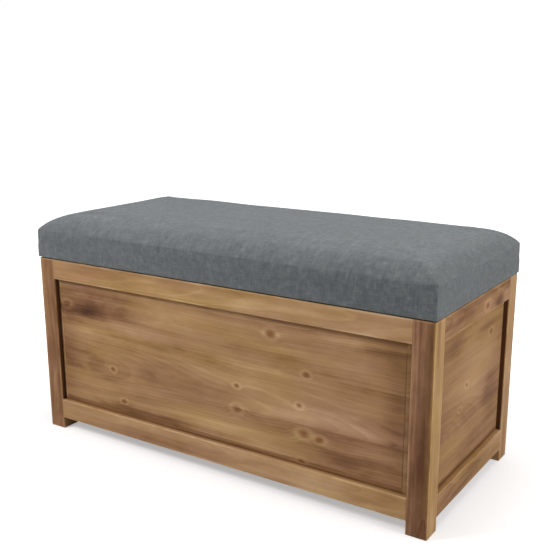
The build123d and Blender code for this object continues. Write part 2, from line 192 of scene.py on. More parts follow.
class Shader:
    """Writes one material. Every method that adds a node returns its output."""

    def __init__(self, name):
        self.material = bpy.data.materials.new(name)
        self.material.use_nodes = True
        self.tree = self.material.node_tree
        self.surface = self.tree.nodes["Principled BSDF"]

    def add(self, kind, **settings):
        node = self.tree.nodes.new(kind)
        for key, value in settings.items():
            setattr(node, key, value)
        return node

    def feed(self, socket, value):
        if isinstance(value, Signal):
            self.tree.links.new(value.socket, socket)
        elif isinstance(value, bpy.types.NodeSocket):
            self.tree.links.new(value, socket)
        elif socket.type == "RGBA" and len(value) == 3:
            socket.default_value = (*value, 1.0)
        else:
            socket.default_value = value

    def set(self, **values):
        """Constants and links on the surface, such as Base_Color or Roughness."""
        for key, value in values.items():
            self.feed(self.surface.inputs[key.replace("_", " ")], value)

    def maths(self, operation, *values):
        node = self.add("ShaderNodeMath", operation=operation)
        for socket, value in zip(node.inputs, values):
            self.feed(socket, value)
        return Signal(self, node.outputs[0])

    def place(self):
        """The x, y and z of a point of the piece, in metres in the row frame."""
        split = self.add("ShaderNodeSeparateXYZ")
        self.feed(split.inputs[0], self.add("ShaderNodeTexCoord").outputs["Object"])
        return [Signal(self, split.outputs[i]) for i in range(3)]

    def uv(self, layer):
        split = self.add("ShaderNodeSeparateXYZ")
        self.feed(split.inputs[0], self.add("ShaderNodeUVMap", uv_map=layer).outputs[0])
        return Signal(self, split.outputs[0]), Signal(self, split.outputs[1])

    def facing(self):
        """The x, y and z of the surface's normal in the piece's own axes."""
        split = self.add("ShaderNodeSeparateXYZ")
        self.feed(split.inputs[0], self.add("ShaderNodeTexCoord").outputs["Normal"])
        return [Signal(self, split.outputs[i]) for i in range(3)]

    def join(self, x, y, z):
        node = self.add("ShaderNodeCombineXYZ")
        for socket, value in zip(node.inputs, (x, y, z)):
            self.feed(socket, value)
        return node.outputs[0]

    def noise(self, x, y, z, detail=2.0, roughness=0.5, distortion=0.0):
        node = self.add("ShaderNodeTexNoise")
        self.feed(node.inputs["Vector"], self.join(x, y, z))
        node.inputs["Scale"].default_value = 1.0
        node.inputs["Detail"].default_value = detail
        node.inputs["Roughness"].default_value = roughness
        node.inputs["Distortion"].default_value = distortion
        return Signal(self, node.outputs["Fac"])

    def ramp(self, value, stops):
        """A colour for each value, from (position, colour) stops."""
        node = self.add("ShaderNodeValToRGB")
        self.feed(node.inputs[0], value)
        elements = node.color_ramp.elements
        while len(elements) < len(stops):
            elements.new(0.5)
        for element, (position, colour) in zip(elements, stops):
            element.position = position
            element.color = (*colour, 1.0)
        return node.outputs["Color"]

    def mix(self, share, first, second, blend="MIX"):
        node = self.add("ShaderNodeMix", data_type="RGBA", blend_type=blend)
        self.feed(node.inputs[0], share)
        self.feed(node.inputs[6], first)
        self.feed(node.inputs[7], second)
        return node.outputs[2]

    def bump(self, height, distance, strength=1.0):
        node = self.add("ShaderNodeBump")
        self.feed(node.inputs["Height"], height)
        node.inputs["Distance"].default_value = distance
        node.inputs["Strength"].default_value = strength
        self.feed(self.surface.inputs["Normal"], node.outputs[0])


def add_floor():
    """White, and glowing more the farther it is from the bench, so that it fades into the background."""
    mesh = bpy.data.meshes.new("floor")
    corners = [(x * FLOOR_HALF, y * FLOOR_HALF, 0) for x, y in ((-1, -1), (1, -1), (1, 1), (-1, 1))]
    mesh.from_pydata(corners, [], [(0, 1, 2, 3)])
    floor = bpy.data.objects.new("floor", mesh)
    bpy.context.scene.collection.objects.link(floor)
    shader = Shader("floor_white")
    x, y, _ = shader.place()
    beyond_x = (x.size() - cad_bounds[1][0]).most(0.0)
    beyond_y = (y.size() - cad_bounds[1][1]).most(0.0)
    beyond = (beyond_x * beyond_x + beyond_y * beyond_y).root()
    glow = beyond.rise(0.0, FLOOR_FADE) * FLOOR_GLOW_MORE + FLOOR_GLOW_NEAR
    seen = Signal(shader, shader.add("ShaderNodeLightPath").outputs["Is Camera Ray"])
    shader.set(Base_Color=(0.7, 0.7, 0.71), Roughness=0.9, Specular_IOR_Level=0.1)
    shader.set(Emission_Color=(1.0, 1.0, 1.0), Emission_Strength=glow * seen)
    mesh.materials.append(shader.material)


# ---------------------------------------------------------------- stained pine

STAIN = [
    (0.0, (0.045, 0.018, 0.006)),
    (0.25, (0.118, 0.051, 0.018)),
    (0.42, (0.200, 0.101, 0.040)),
    (0.58, (0.308, 0.176, 0.076)),
    (0.74, (0.390, 0.241, 0.109)),
    (1.0, (0.560, 0.395, 0.200)),
]
KNOT_CORE = (0.235, 0.088, 0.026)  # the colour of a knot's core
GOLDEN, REDDISH = (1.04, 1.0, 0.80), (1.04, 0.955, 1.15)  # what the stain is multiplied by
MIDDLE_STAIN = 0.65  # where an ordinary board lies on the stain's ramp
RING_PITCH = 0.0046
TENON = 0.02
GROOVE = 0.007  # how much of a panel's edge is hidden in the frame
BEVEL = 0.012
OPENING_LOW, OPENING_HIGH = 0.0715, 0.3585


class Board:
    """What one piece of timber looks like: how it was cut, and how the stain took."""

    def __init__(self, grain, face, **look):
        self.grain = grain  # the axis that the grain runs along
        self.face = face  # the axis that the show face looks along
        self.seams = look.get("seams", ())  # places across the grain where two boards are glued
        self.knots = look.get("knots", ())  # (along, across, radius) of each
        self.patches = look.get("patches", ())  # (along, across, half length, half width, tone)
        self.blush = look.get("blush", ())  # the same as patches, for redder above 0 and golden below
        self.contrast = look.get("contrast", 1.0)
        self.tone = look.get("tone", 0.0)  # lighter above 0, darker below
        self.pith = look.get("pith", 0.07)  # how far behind the show face the tree's middle lay
        self.taper = look.get("taper", 0.03)  # how fast that changes along the grain
        self.shift = look.get("shift", 0.0)  # where across the board the tree's middle lay


def knot_fields(board, u, v, wobble):
    """How far knots bend the rings, and masks of their cores, rims and halos."""
    bend = core = rim = halo = 0.0
    squeeze = 0.7  # knots are longer along the grain than across it
    for along, across, radius in board.knots:
        du = (u - along) * squeeze
        dv = v - across
        far = (du * du + dv * dv).root() / radius + wobble
        bend = far.rise(4.2, 0.4) * (radius * 1.2) + bend
        core = far.rise(1.1, 0.3).most(core)
        rim = (far - 1.0).size().rise(0.45, 0.05).most(rim)
        halo = (far - 1.7).size().rise(1.0, 0.1).most(halo)
    return bend, core, rim, halo


def patch_tone(patches, u, v, smoke):
    """Adds up patches with ragged edges, such as scorched and paler places."""
    tone = 0.0
    for along, across, half_length, half_width, strength in patches:
        du = (u - along) / half_length
        dv = (v - across) / half_width
        far = (du * du + dv * dv).root() + smoke * 1.4
        tone = far.rise(1.35, 0.0) * strength + tone
    return tone


def worn_edges(board, place, low, high):
    """How far a point of the surface is from the piece's nearest edge, in metres."""
    gaps = [(place[i] - low[i]).least(high[i] - place[i]) for i in range(3)]
    if board.grain != "z":
        grain = AXES.index(board.grain)
        gaps[grain] = gaps[grain] + 0.004  # the ends of rails and panels are hidden, and don't wear
    return gaps[0].least(gaps[1]).most(gaps[0].most(gaps[1]).least(gaps[2]))


def pine(name, low, high, board):
    """Starts a stained pine. low and high are the corners of what shows of the piece."""
    shader = Shader(name)
    chance = random.Random(name)
    place = shader.place()
    grain, face = AXES.index(board.grain), AXES.index(board.face)
    across = 3 - grain - face
    u, v, w = place[grain], place[across], place[face]
    step = 0.0
    for seam in board.seams:
        step = v.above(seam) * chance.uniform(3, 9) + step
    shifted = u + chance.uniform(0, 40) + step

    def wood_noise(lengthways, crossways, detail, roughness=0.5):
        """Noise with this many lumps per metre along the grain and across it."""
        return shader.noise(
            shifted * lengthways, v * crossways, w * crossways, detail=detail, roughness=roughness
        )

    wander = wood_noise(1.8, 7, 2) - 0.5
    ripple = wood_noise(10, 34, 3) - 0.5
    smoke = wood_noise(9, 22, 4, 0.6) - 0.5
    bend, core, rim, halo = knot_fields(board, u, v, ripple * 1.6 + smoke * 1.2)

    # rings round the tree's middle, which lay behind the show face
    outside = high[face] if abs(high[face]) > abs(low[face]) else low[face]
    inward = -1.0 if outside > 0 else 1.0
    middle = (low[across] + high[across]) / 2 + board.shift
    depth = u * board.taper + (w - (outside + inward * board.pith)) * -inward + wander * 0.05
    side = v - middle + wander * 0.02 + step * 0.012
    rings = (depth * depth + side * side).root() + bend + ripple * 0.0022
    crisp = wood_noise(2.2, 11, 2).rise(0.40, 0.62)
    late = (rings / RING_PITCH).part() ** 2.5 * (crisp * 0.8 + 0.2)
    pale = ((rings / (RING_PITCH * 1.7)).part() - 0.5).size().rise(0.13, 0.0) * (1.0 - crisp)

    bands = shader.noise(rings * 75, shifted * 1.1, 0.0, detail=3, roughness=0.5)
    broad = wood_noise(2.6, 9, 3)
    streaks = wood_noise(1.6, 42, 3, 0.55)
    fibre = wood_noise(5, 380, 3, 0.6)
    flecks = wood_noise(22, 160, 2)
    hue = wood_noise(3.1, 10, 4, 0.65) + smoke * 0.25
    hue = hue + patch_tone(board.blush, u, v, smoke)
    rubbed = wood_noise(13, 50, 3).rise(0.34, 0.62)
    worn = worn_edges(board, place, low, high).rise(0.0045, 0.0008) * rubbed

    pattern = (bands - 0.5) * (crisp * 0.30 + 0.22) + smoke * 0.46 + pale * 0.075 - late * 0.09
    for layer, weight in ((broad, 0.66), (streaks, 0.52), (fibre, 0.12), (flecks, 0.06)):
        pattern = (layer - 0.5) * weight + pattern
    value = pattern * board.contrast + (MIDDLE_STAIN + board.tone)
    value = value + halo * 0.10 - core * 0.14 - rim * 0.08
    value = value + worn * 0.22 + patch_tone(board.patches, u, v, smoke)
    look = dict(place=place, smoke=smoke, late=late, fibre=fibre, core=core, rim=rim, hue=hue)
    return shader, value, look


def finish_pine(shader, value, look, dark, light=0.0):
    """Turns a stain value into colour, gloss and relief. dark and light are masks from 0 to 1: dark
    darkens, for painted shade and darker stain, and light adds painted highlight.
    """
    value = (value + light * 0.2) * (1.0 - dark * 0.9)
    colour = shader.ramp(value, STAIN)
    tint = shader.ramp(look["hue"], [(0.30, GOLDEN), (0.70, REDDISH)])
    colour = shader.mix(1.0, colour, tint, blend="MULTIPLY")
    if isinstance(look["core"], Signal):
        colour = shader.mix(look["core"] * 0.85, colour, KNOT_CORE)
    gloss = 0.56 - (look["fibre"] - 0.5) * 0.25 + look["late"] * 0.06
    shader.set(Base_Color=colour, Roughness=gloss, Specular_IOR_Level=0.2)
    shader.bump(look["late"] * 0.45 + look["fibre"] * 0.55 - look["rim"] * 0.4, 0.0005, 0.55)
    return shader.material


PANEL_SEAMS = (0.158, 0.259)
PANEL_LOOKS = {
    "front": dict(
        knots=(
            (-0.405, 0.305, 0.0065),
            (-0.275, 0.175, 0.0045),
            (-0.245, 0.105, 0.0040),
            (0.140, 0.325, 0.0065),
            (0.060, 0.205, 0.0040),
            (0.060, 0.155, 0.0065),
            (0.220, 0.260, 0.0045),
            (0.205, 0.195, 0.0045),
            (0.215, 0.140, 0.0080),
            (0.250, 0.135, 0.0055),
            (0.210, 0.082, 0.0050),
        ),
        patches=(
            (-0.37, 0.315, 0.08, 0.034, -0.24),
            (-0.29, 0.300, 0.13, 0.022, -0.24),
            (-0.18, 0.310, 0.10, 0.012, -0.10),
            (-0.15, 0.250, 0.16, 0.012, -0.10),
            (-0.13, 0.090, 0.20, 0.014, -0.22),
            (-0.41, 0.200, 0.045, 0.120, -0.15),
            (-0.08, 0.140, 0.14, 0.022, 0.08),
            (0.39, 0.330, 0.08, 0.016, -0.22),
            (0.41, 0.200, 0.035, 0.100, -0.16),
            (0.36, 0.105, 0.12, 0.022, -0.20),
            (0.10, 0.270, 0.20, 0.022, -0.06),
            (0.02, 0.325, 0.16, 0.016, 0.10),
            (-0.02, 0.225, 0.16, 0.020, 0.06),
            (0.05, 0.110, 0.20, 0.028, 0.22),
            (-0.30, 0.160, 0.12, 0.030, -0.06),
        ),
        blush=(
            (0.34, 0.140, 0.15, 0.080, 0.28),
            (0.30, 0.280, 0.14, 0.030, 0.10),
            (-0.12, 0.200, 0.12, 0.040, 0.14),
            (-0.34, 0.310, 0.10, 0.030, 0.10),
            (-0.30, 0.262, 0.14, 0.026, -0.14),
            (0.12, 0.120, 0.16, 0.030, -0.12),
            (0.02, 0.310, 0.20, 0.030, -0.10),
        ),
    ),
    "right": dict(
        tone=-0.065,
        contrast=0.66,
        knots=((-0.03, 0.235, 0.0040), (-0.06, 0.195, 0.0035), (0.09, 0.310, 0.005)),
        patches=(
            (0.10, 0.175, 0.05, 0.050, -0.14),
            (0.00, 0.100, 0.16, 0.025, -0.14),
            (-0.10, 0.330, 0.08, 0.016, -0.12),
            (0.06, 0.325, 0.10, 0.018, -0.12),
            (0.00, 0.230, 0.07, 0.050, 0.15),
        ),
    ),
    "rear": dict(
        knots=((-0.22, 0.21, 0.006), (0.14, 0.29, 0.005), (0.31, 0.13, 0.0065), (-0.35, 0.32, 0.004)),
        patches=(
            (-0.38, 0.20, 0.05, 0.14, -0.16),
            (0.36, 0.30, 0.10, 0.03, -0.18),
            (0.0, 0.15, 0.2, 0.03, 0.1),
        ),
    ),
    "left": dict(
        knots=((0.05, 0.12, 0.006), (-0.08, 0.28, 0.0045)),
        patches=((-0.11, 0.15, 0.05, 0.08, -0.15), (0.06, 0.30, 0.08, 0.03, -0.12)),
    ),
}
RAIL_LOOKS = {
    "front_top": dict(tone=0.03, patches=((-0.34, 0.383, 0.06, 0.02, -0.05),)),
    "front_bottom": dict(blush=((0.1, 0.05, 0.5, 0.1, 0.09),), patches=((0.02, 0.05, 0.16, 0.01, -0.08),)),
    "right_top": dict(
        tone=-0.05,
        knots=((0.04, 0.375, 0.006),),
        patches=((0.11, 0.370, 0.03, 0.020, -0.28),),
    ),
    "right_bottom": dict(tone=-0.02),
}


def material_for_panel(side):
    """A raised panel, with painted shade where its frame holds it and on its lower bevel, painted highlight
    on its end and top bevels, and darker stain towards its ends.
    """
    low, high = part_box(f"{side}_panel")
    g = 0 if side in ("front", "rear") else 1
    board = Board(AXES[g], AXES[1 - g], seams=PANEL_SEAMS, pith=0.075, taper=0.045, **PANEL_LOOKS[side])
    shader, value, look = pine(f"pine_{side}_panel", low, high, board)
    along, up = look["place"][g], look["place"][2]
    from_end = (along - low[g]).least(high[g] - along) - GROOVE
    from_side = (up - low[2]).least(high[2] - up) - GROOVE
    near = from_end.least(from_side)
    # painted shade in the gap where the panel meets its frame and on the lower bevel, which faces down;
    # darker stain in smoky patches towards the ends; painted highlight on the end and top bevels
    under_top_rail = (high[2] - up).rise(0.03, 0.02)
    # painted shade in the gap beside the frame, left out under the top rail
    gap_shade = near.rise(0.003, 0.0005) * (1.0 - under_top_rail)
    # painted shade on the lower bevel, which faces down
    low_bevel_shade = (up - (low[2] + GROOVE)).rise(BEVEL * 1.8, BEVEL * 0.6)
    end_bevel = from_end.rise(BEVEL * 1.05, BEVEL * 0.85)
    # painted highlight on the top bevel
    top_bevel_highlight = (high[2] - GROOVE - up).rise(BEVEL, BEVEL * 0.7)
    smoky = from_end.rise(0.10, 0.0) * (look["smoke"] + 0.5).rise(0.35, 0.65) * (1.0 - end_bevel)
    # a thin dark line along the crest where each bevel meets the field
    crest = (near - BEVEL).size().rise(0.0016, 0.0004) * (1.0 - under_top_rail)
    dark = gap_shade * 0.25 + low_bevel_shade * 0.16 + smoky * 0.26 + crest * 0.22
    # painted highlight on the end and top bevels
    return finish_pine(shader, value, look, dark=dark, light=end_bevel * 0.45 + top_bevel_highlight * 0.3)


def material_for_rail(side, level):
    """A rail, with a line of painted shade in the recess where a panel meets it."""
    node = f"{side}_{level}_rail"
    low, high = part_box(node)
    g = 0 if side in ("front", "rear") else 1
    f = 1 - g
    low[g] += TENON
    high[g] -= TENON
    own_look = RAIL_LOOKS.get(f"{side}_{level}", {})
    board = Board(AXES[g], AXES[f], pith=0.05, taper=0.02, shift=0.01, **own_look)
    shader, value, look = pine(f"pine_{node}", low, high, board)
    outside = high[f] if high[f] > 0 else low[f]
    behind = (look["place"][f] - outside).size()
    inner_edge = OPENING_HIGH if level == "top" else OPENING_LOW
    at_edge = (look["place"][2] - inner_edge).size().rise(0.0012, 0.0004)
    # painted shade on the rail's face inside the recess, along the edge that the panel meets
    return finish_pine(shader, value, look, dark=behind.rise(0.004, 0.011) * at_edge * 0.2)


POST_GRAIN = {
    "right_front_post": dict(
        contrast=1.3,
        blush=((0.22, 0.435, 0.35, 0.033, 0.20), (0.22, 0.485, 0.35, 0.020, -0.30)),
    ),
}
POST_TONES = {  # of the faces that look along x and along y
    "right_front_post": (0.19, -0.15),
    "left_front_post": (-0.05, -0.12),
    "right_rear_post": (0.0, 0.0),
    "left_rear_post": (-0.03, -0.06),
}
SHADE_LINE_BEGINS = (0.0012, 0.004)  # behind a post's show face, where the line of painted shade beside a panel fades in
SHADE_LINE_ENDS = (0.0135, 0.0125)  # and where it has faded out, before the inside of the box


def shaded_reveal(gap, depth):
    """Painted shade on the part of a post's inner face that shows: gap is the distance to it, depth to the
    show face.
    """
    return gap.rise(0.001, 0.0003) * depth.rise(*SHADE_LINE_BEGINS) * depth.rise(*SHADE_LINE_ENDS)


def material_for_post(node):
    """A post, whose show faces are toned apart: the face along x and the face along y each lighter or
    darker by its own tone.
    """
    low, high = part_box(node)
    board = Board("z", "y", pith=0.03, taper=0.02, shift=0.012, **POST_GRAIN.get(node, {}))
    shader, value, look = pine(f"pine_{node}", low, high, board)
    x, y, z = look["place"]
    for facing, tone in zip(shader.facing(), POST_TONES[node]):
        value = facing.size().rise(0.5, 0.9) * tone + value
    inner_x, outer_x = (low[0], high[0]) if low[0] > 0 else (high[0], low[0])
    inner_y, outer_y = (low[1], high[1]) if low[1] > 0 else (high[1], low[1])
    in_x = shaded_reveal((x - inner_x).size(), (y - outer_y).size())
    in_y = shaded_reveal((y - inner_y).size(), (x - outer_x).size())
    within = z.above(OPENING_LOW) * (1.0 - z.above(OPENING_HIGH))
    # painted shade on the strip of each inner face that shows beside a panel
    return finish_pine(shader, value, look, dark=in_x.most(in_y) * within * 0.95)


def bare_wood(name, grain, colours):
    """Unstained timber or plywood for the inside."""
    shader = Shader(name)
    place = shader.place()
    g = AXES.index(grain)
    u = place[g]
    v, w = (place[i] for i in range(3) if i != g)
    streak = shader.noise(u * 2, v * 40, w * 40, detail=4, roughness=0.6, distortion=0.3)
    fine = shader.noise(u * 8, v * 500, w * 500, detail=2)
    value = streak * 0.8 + fine * 0.2
    shader.set(Base_Color=shader.ramp(value, colours), Roughness=0.75)
    shader.bump(fine, 0.0004, 0.4)
    return shader.material


def metal(name, dark, light, roughness, scratch):
    """Plated steel, cloudy between two colours and finely scratched along x."""
    shader = Shader(name)
    x, y, z = shader.place()
    cloud = shader.noise(x * 60, y * 60, z * 60, detail=3)
    lines = shader.noise(x * 120, y * 1200, z * 1200, detail=2)
    colour = shader.ramp(cloud * 0.6 + lines * 0.4, [(0.3, dark), (0.7, light)])
    uneven = (cloud - 0.5) * 0.3 + (lines - 0.5) * 0.2 + roughness
    shader.set(Base_Color=colour, Metallic=1.0, Roughness=uneven)
    shader.bump(lines, 0.0001, scratch)
    return shader.material


def rubber(name):
    """Pale, slightly translucent bumper rubber."""
    shader = Shader(name)
    x, y, z = shader.place()
    grit = shader.noise(x * 900, y * 900, z * 900, detail=2)
    colour = shader.ramp(grit, [(0.3, (0.5, 0.48, 0.42)), (0.7, (0.66, 0.64, 0.58))])
    shader.set(Base_Color=colour, Roughness=0.42)
    shader.surface.inputs["Subsurface Weight"].default_value = 0.2
    shader.surface.inputs["Subsurface Radius"].default_value = (0.002, 0.002, 0.002)
    shader.bump(grit, 0.0001, 0.4)
    return shader.material


def dress(node, material):
    """Gives a CAD node one material in place of what it had."""
    mesh = nodes[node].data
    mesh.materials.clear()
    mesh.materials.append(material)


# ---------------------------------------------------------------- linen

THREAD_PITCH = 0.0011
LINEN = [
    (0.0, (0.038, 0.043, 0.047)),
    (0.35, (0.083, 0.093, 0.098)),
    (0.6, (0.122, 0.133, 0.136)),
    (1.0, (0.225, 0.238, 0.236)),
]


def linen():
    """Blue-grey melange linen: warp along v of its UV map, weft along u, both in metres."""
    shader = Shader("linen")
    u, v = shader.uv("cloth")
    warp_slub = shader.noise(u * 480, v * 34, 0.0, detail=3, roughness=0.65)
    weft_slub = shader.noise(u * 34, v * 480, 3.0, detail=3, roughness=0.65)
    patch = shader.noise(u * 110, v * 90, 7.0, detail=3, roughness=0.7)
    cloud = shader.noise(u * 7, v * 7, 11.0, detail=2)
    mottle = shader.noise(u * 48, v * 40, 15.0, detail=2)
    warp = (u * (math.pi / THREAD_PITCH) + warp_slub * 1.5).sine().size()
    weft = (v * (math.pi / THREAD_PITCH) + weft_slub * 1.5).sine().size()
    over = ((u / THREAD_PITCH).part().above(0.5) - (v / THREAD_PITCH).part().above(0.5)).size()
    weave = over * warp + (1.0 - over) * weft
    value = (warp_slub - 0.5) * 0.62 + (weft_slub - 0.5) * 0.50 + 0.5
    for layer, weight in ((weave, 0.16), (patch, 0.72), (mottle, 0.38), (cloud, 0.18)):
        value = (layer - 0.5) * weight + value
    shader.set(Base_Color=shader.ramp(value, LINEN), Roughness=0.92)
    shader.surface.inputs["Specular IOR Level"].default_value = 0.15
    shader.surface.inputs["Sheen Weight"].default_value = 0.25
    shader.surface.inputs["Sheen Roughness"].default_value = 0.6
    shader.surface.inputs["Sheen Tint"].default_value = (0.8, 0.86, 0.9, 1)
    shader.bump(weave * 0.6 + warp_slub * 0.7 + weft_slub * 0.4, 0.0006, 0.6)
    return shader.material


def dust_cloth_material():
    """Black non-woven cloth with a pattern of bonded dots."""
    shader = Shader("dust_cloth")
    x, y, z = shader.place()
    felt = shader.noise(x * 400, y * 400, 0.0, detail=4, roughness=0.7)
    dots = ((x * 900).sine() * (y * 900).sine()).size()
    colour = shader.ramp(felt, [(0.3, (0.010, 0.010, 0.011)), (0.7, (0.030, 0.030, 0.032))])
    shader.set(Base_Color=colour, Roughness=0.95)
    shader.bump(felt + dots * 0.5, 0.0003, 0.6)
    return shader.material


# ---------------------------------------------------------------- the seat

CROWN_RUN_X, CROWN_RUN_Y = 0.094, 0.075  # how far in from an edge the crown goes on rising
CROWN_POWER_X, CROWN_POWER_Y = 3.7, 3.4
CROWN_JOIN = 5.8  # how sharply the rise from an end meets the rise from a side
WRAP = 0.035  # the linen that is turned under the board
EDGE_LINE = 0.0022  # from an edge to the row of points beside it
CELLS_X, CELLS_Y, BAND_ROWS = 128, 60, 9
CROWDED = 0.35  # how much closer together the cells are near the edges

HELD_HEIGHT, FREE_HEIGHT = 0.020, 0.034  # stapled and on the board below the first, free above the second
CREASE_GRIP = 0.35  # how firmly the crease between band and crown is held
START_SMALL, START_LOW = 0.0012, 0.0030  # how much smaller and lower the cover starts
CAP_BAND, CAP_TOP = 0.0014, 0.0022  # how far the cloth may move a point
CLOTH_FRAMES = 20
CLOTH = dict(
    quality=6,
    mass=0.35,
    tension_stiffness=40,
    compression_stiffness=40,
    shear_stiffness=12,
    bending_stiffness=1.5,
    use_pressure=True,
    uniform_pressure_force=4.0,
    vertex_group_mass="held",
)
TUCK_REACH, TUCK_DEPTH = 0.011, 0.0016  # how far from a corner of the crease the band is drawn in
ON_SIDE = 0.004  # a point this near to a side belongs to it
DUST_WAVE, DUST_HEM = 0.000084, 0.0003  # how far the dust cover sways, and how much lower its hem is

cover_low, cover_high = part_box("linen_cover")
SEAT_LENGTH = cover_high.x - cover_low.x
SEAT_DEPTH = cover_high.y - cover_low.y
HALF_LENGTH, HALF_DEPTH = SEAT_LENGTH / 2, SEAT_DEPTH / 2
SEAT_BOTTOM = cover_low.z
BAND_HEIGHT = 0.061
CROWN = cover_high.z - SEAT_BOTTOM - BAND_HEIGHT


def between_0_and_1(value):
    return min(max(value, 0.0), 1.0)


def freedom(above):
    """0 where the cover is held, at this height above the seat's underside, and 1 where it is free."""
    return between_0_and_1((above - HELD_HEIGHT) / (FREE_HEIGHT - HELD_HEIGHT))


def crown_height(x, y):
    """How far the seat's top stands above its band at a point, before the cloth settles."""
    from_end = between_0_and_1((HALF_LENGTH - abs(x)) / CROWN_RUN_X)
    from_side = between_0_and_1((HALF_DEPTH - abs(y)) / CROWN_RUN_Y)
    rise_x = max(1 - (1 - from_end) ** CROWN_POWER_X, 1e-6)
    rise_y = max(1 - (1 - from_side) ** CROWN_POWER_Y, 1e-6)
    joined = rise_x**-CROWN_JOIN + rise_y**-CROWN_JOIN - 1
    return CROWN * joined ** (-1 / CROWN_JOIN)


def spaced(length, cells, tight):
    """Places from -length/2 to length/2, closer together near both ends by the factor tight."""
    places = []
    for i in range(cells + 1):
        t = 2 * i / cells - 1
        places.append(length / 2 * (t * (1 - tight) + math.sin(t * math.pi / 2) * tight))
    return places


def with_edge_lines(places):
    """The same places and one more close to each end, which keeps the edges there crisp."""
    return [places[0], places[0] + EDGE_LINE, *places[1:-1], places[-1] - EDGE_LINE, places[-1]]


def seat_mesh():
    """A closed, even-celled seat: top, four sides and underside, with a cloth UV map in metres."""
    xs = with_edge_lines(spaced(SEAT_LENGTH, CELLS_X, CROWDED))
    ys = with_edge_lines(spaced(SEAT_DEPTH, CELLS_Y, CROWDED))
    heights = [BAND_HEIGHT * k / BAND_ROWS for k in range(BAND_ROWS)]
    heights += [BAND_HEIGHT - EDGE_LINE, BAND_HEIGHT]
    rows = len(heights) - 1
    bm = bmesh.new()
    points = {}

    def point(i, j, k):
        """k counts up the band; the top and the underside share its last and first rows."""
        key = (i, j, k)
        if key not in points:
            x, y = xs[i], ys[j]
            z = SEAT_BOTTOM + heights[k]
            if k == rows:
                z += crown_height(x, y)
            points[key] = bm.verts.new((x, y, z))
        return points[key]

    def add_face(*corners):
        bm.faces.new([point(*corner) for corner in corners])

    last_x, last_y = len(xs) - 1, len(ys) - 1
    for i in range(last_x):
        for j in range(last_y):
            add_face((i, j, rows), (i + 1, j, rows), (i + 1, j + 1, rows), (i, j + 1, rows))
            add_face((i, j, 0), (i, j + 1, 0), (i + 1, j + 1, 0), (i + 1, j, 0))
    for k in range(rows):
        for i in range(last_x):
            add_face((i, 0, k), (i + 1, 0, k), (i + 1, 0, k + 1), (i, 0, k + 1))
            add_face((i, last_y, k), (i, last_y, k + 1), (i + 1, last_y, k + 1), (i + 1, last_y, k))
        for j in range(last_y):
            add_face((0, j, k), (0, j, k + 1), (0, j + 1, k + 1), (0, j + 1, k))
            add_face((last_x, j, k), (last_x, j + 1, k), (last_x, j + 1, k + 1), (last_x, j, k + 1))
    lay_cloth_map(bm)
    mesh = bpy.data.meshes.new("seat_cushion")
    bm.to_mesh(mesh)
    bm.free()
    return mesh


def lay_cloth_map(bm):
    """A UV map in metres: the cloth lies flat on the top and runs down each side."""
    layer = bm.loops.layers.uv.new("cloth")
    top = SEAT_BOTTOM + BAND_HEIGHT
    apart = 3.0  # keeps the cloth of the ends away from the rest
    for face in bm.faces:
        face.normal_update()
        normal = face.normal
        for loop in face.loops:
            x, y, z = loop.vert.co
            if abs(normal.z) > 0.35:
                loop[layer].uv = (x, y)
            elif abs(normal.y) > abs(normal.x):
                loop[layer].uv = (x, math.copysign(HALF_DEPTH + top - z, y))
            else:
                loop[layer].uv = (y + apart, math.copysign(HALF_LENGTH + top - z, x))


def start_smaller(seat):
    """Marks what is held, and shrinks and lowers the rest, because pressure then swells it."""
    held = seat.vertex_groups.new(name="held")
    for v in seat.data.vertices:
        above = v.co.z - SEAT_BOTTOM
        from_edge = min(HALF_LENGTH - abs(v.co.x), HALF_DEPTH - abs(v.co.y))
        on_crease = abs(above - BAND_HEIGHT) < 0.001 and from_edge < 0.001
        held.add([v.index], 1.0 if above < HELD_HEIGHT else CREASE_GRIP * on_crease, "REPLACE")
        inset = START_SMALL * freedom(above)
        v.co.x = max(inset - HALF_LENGTH, min(HALF_LENGTH - inset, v.co.x))
        v.co.y = max(inset - HALF_DEPTH, min(HALF_DEPTH - inset, v.co.y))
        if above > BAND_HEIGHT - 0.001:
            v.co.z -= START_LOW * min(from_edge / 0.03, 1.0)


def settle(seat):
    """Lets the cover settle as pressurised cloth, held where it is stapled and on the board."""
    before = [v.co.copy() for v in seat.data.vertices]
    start_smaller(seat)
    cloth = seat.modifiers.new("cloth", "CLOTH")
    for key, value in CLOTH.items():
        setattr(cloth.settings, key, value)
    cloth.settings.effector_weights.gravity = 0.0
    cloth.collision_settings.use_collision = False
    cloth.point_cache.frame_start = 1
    cloth.point_cache.frame_end = CLOTH_FRAMES
    scene = bpy.context.scene
    for number in range(1, CLOTH_FRAMES + 1):
        scene.frame_set(number)
    graph = bpy.context.evaluated_depsgraph_get()
    after = [v.co.copy() for v in seat.evaluated_get(graph).data.vertices]
    seat.modifiers.remove(cloth)
    scene.frame_set(1)
    for v, old, new in zip(seat.data.vertices, before, after):
        above = old.z - SEAT_BOTTOM
        up_crown = between_0_and_1((above - BAND_HEIGHT) / CROWN)
        cap = CAP_BAND + (CAP_TOP - CAP_BAND) * up_crown
        shift = new - old
        if shift.length > 0:
            shift *= cap * math.tanh(shift.length / cap) / shift.length
        v.co = old + shift * freedom(above)


def random_dips(count):
    """Places, reaches and depths of shallow hollows and swells in the top."""
    chance = random.Random(5)
    dips = []
    for _ in range(count):
        x = chance.uniform(-0.45, 0.45)
        y = chance.uniform(-0.2, 0.2)
        reach = chance.uniform(0.05, 0.11)
        depth = chance.uniform(-0.0012, 0.0009)
        dips.append((x, y, reach, depth))
    return dips


